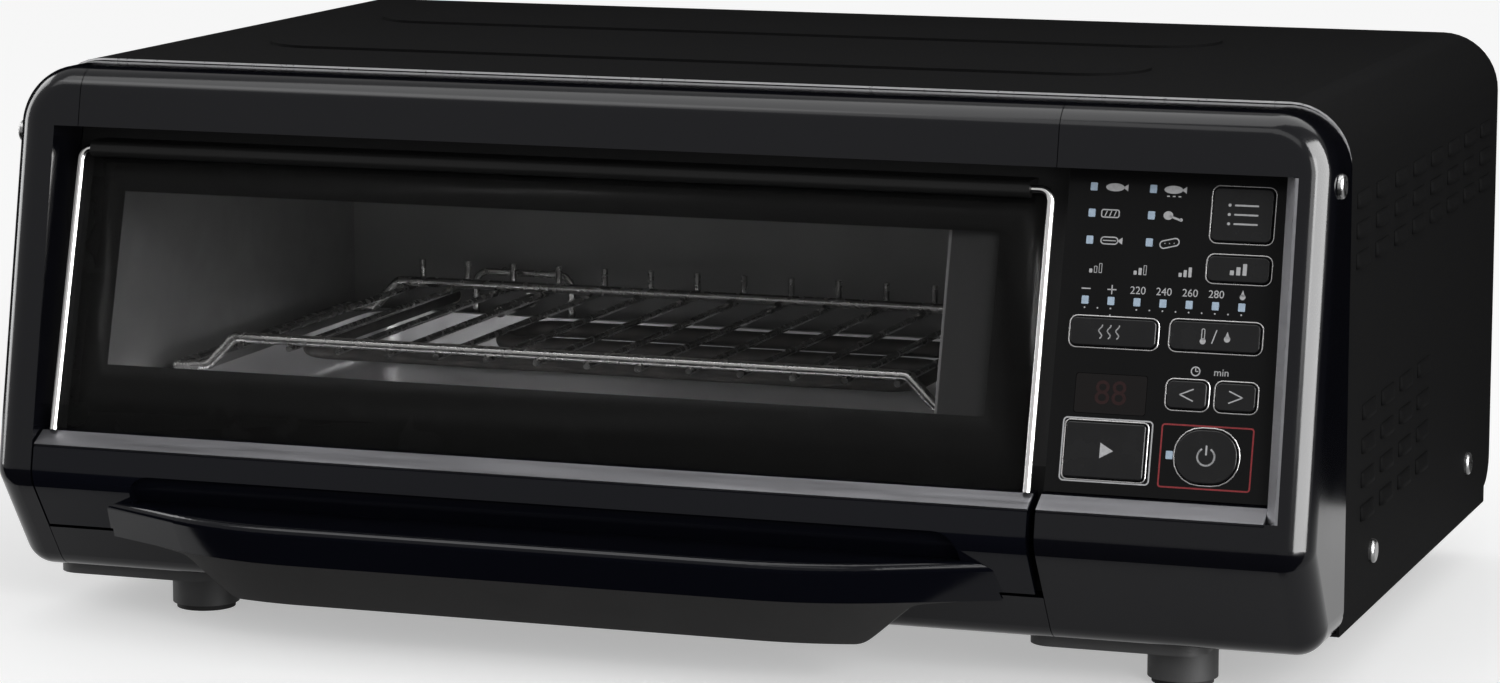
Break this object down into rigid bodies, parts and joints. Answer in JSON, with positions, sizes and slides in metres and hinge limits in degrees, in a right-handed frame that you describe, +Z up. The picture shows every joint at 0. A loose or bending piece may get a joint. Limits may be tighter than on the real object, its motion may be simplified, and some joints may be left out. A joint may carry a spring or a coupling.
{
  "type": "electric fish roaster",
  "caption": "Countertop electric roaster with a glass-fronted pull-out drawer, roasting net over a drip tray, tube heaters, smoke filter with fan, and a push-button control panel.",
  "frame": {"origin": "on the worktop, under the middle of the part's bounding box", "axes": "+Z up; X runs along the front with the control panel at +X; the drawer opens towards -Y"},
  "size_m": [0.498, 0.3486, 0.207],
  "materials": {
    "cover_black": "matt, fine textured",
    "gloss_black": "high gloss",
    "black_sheet": "satin",
    "silver_trim": "bright satin foil",
    "switch_black": "moulded",
    "lens_clear": "clear light pipe",
    "display_dark": "smoked window",
    "board_green": "lacquered laminate",
    "screw_steel": "zinc plated",
    "screw_black": "black oxide",
    "grey_plastic": "moulded, slightly rough",
    "oven_glass": "clear, printed dark border",
    "chrome_wire": "bright plated",
    "matt_black": "matt",
    "galvanised": "zinc coated sheet",
    "bright_sheet": "bright",
    "cavity_steel": "heat resistant sheet",
    "quartz_tube": "frosted tube",
    "ceramic": "unglazed",
    "heater_sheath": "oxidised sheath",
    "filter_block": "porous, coated",
    "motor_grey": "satin",
    "component_dark": "moulded",
    "foot_rubber": "soft",
    "key_black": "high gloss"
  },
  "bodies": {
    "body": {"top_cover": "cover_black", "rear_panel": "cover_black", "bottom_plate": "galvanised", "front_left_pillar": "gloss_black", "front_top_panel": "gloss_black", "front_base": "gloss_black", "front_bulkhead": "black_sheet", "control_housing": "gloss_black", "control_plate": "gloss_black", "housing_trim": "silver_trim", "tact_switches": "switch_black", "indicator_lenses": "lens_clear", "timer_display": "display_dark", "control_board": "board_green", "board_screws": "screw_steel", "cavity_liner": "cavity_steel", "cavity_floor": "cavity_steel", "cavity_supports": "galvanised", "upper_heaters": "quartz_tube", "heater_holders": "ceramic", "heat_reflector": "bright_sheet", "lower_heater": "heater_sheath", "heater_terminals": "ceramic", "temperature_sensor": "chrome_wire", "sensor_guard": "chrome_wire", "exhaust_duct": "galvanised", "catalyst_filter": "filter_block", "fan_motor": "motor_grey", "heat_shield": "galvanised", "board_spacers": "matt_black", "power_board": "board_green", "power_components": "component_dark", "cord_gland": "matt_black", "wall_spacers": "matt_black", "side_screws": "screw_black", "rear_screws": "screw_black", "foot_brackets": "grey_plastic", "foot_pads": "foot_rubber", "drawer_rail_left": "galvanised", "drawer_rail_right": "galvanised"},
    "drawer": {"door_lower_panel": "gloss_black", "handle_grip": "grey_plastic", "door_trim_strip": "silver_trim", "door_glass": "oven_glass", "glass_wire": "chrome_wire", "glass_cap": "matt_black", "tray_carrier": "galvanised", "drawer_slides": "galvanised", "drip_tray": "bright_sheet", "carrier_screws": "screw_steel"},
    "net": {"grill_net": "chrome_wire"},
    "fan": {"exhaust_fan": "galvanised"},
    "menu_button": {"menu_button": "key_black"},
    "level_button": {"level_button": "key_black"},
    "smoke_button": {"smoke_button": "key_black"},
    "temperature_button": {"temperature_button": "key_black"},
    "timer_down_button": {"timer_down_button": "key_black"},
    "timer_up_button": {"timer_up_button": "key_black"},
    "start_button": {"start_button": "key_black"},
    "power_button": {"power_button": "key_black"}
  },
  "joints": [
    {"name": "drawer_slide", "type": "slide", "parent": "body", "child": "drawer", "axis": [0, -1, 0], "range_m": [0, 0.19]},
    {"name": "net_lift", "type": "slide", "parent": "drawer", "child": "net", "axis": [0, 0, 1], "range_m": [0, 0.025]},
    {"name": "fan_spin", "type": "hinge", "parent": "body", "child": "fan", "pos_m": [-0.035, 0.14228, 0.15], "axis": [0, 1, 0], "continuous": true},
    {"name": "menu_press", "type": "slide", "parent": "body", "child": "menu_button", "axis": [0, 0.963, -0.2696], "range_m": [0, 0.0007], "stiffness_N_per_m": 900},
    {"name": "level_press", "type": "slide", "parent": "body", "child": "level_button", "axis": [0, 0.963, -0.2696], "range_m": [0, 0.0007], "stiffness_N_per_m": 900},
    {"name": "smoke_press", "type": "slide", "parent": "body", "child": "smoke_button", "axis": [0, 0.963, -0.2696], "range_m": [0, 0.0007], "stiffness_N_per_m": 900},
    {"name": "temperature_press", "type": "slide", "parent": "body", "child": "temperature_button", "axis": [0, 0.963, -0.2696], "range_m": [0, 0.0007], "stiffness_N_per_m": 900},
    {"name": "timer_down_press", "type": "slide", "parent": "body", "child": "timer_down_button", "axis": [0, 0.963, -0.2696], "range_m": [0, 0.0007], "stiffness_N_per_m": 900},
    {"name": "timer_up_press", "type": "slide", "parent": "body", "child": "timer_up_button", "axis": [0, 0.963, -0.2696], "range_m": [0, 0.0007], "stiffness_N_per_m": 900},
    {"name": "start_press", "type": "slide", "parent": "body", "child": "start_button", "axis": [0, 0.963, -0.2696], "range_m": [0, 0.0007], "stiffness_N_per_m": 900},
    {"name": "power_press", "type": "slide", "parent": "body", "child": "power_button", "axis": [0, 0.963, -0.2696], "range_m": [0, 0.0007], "stiffness_N_per_m": 900}
  ]
}
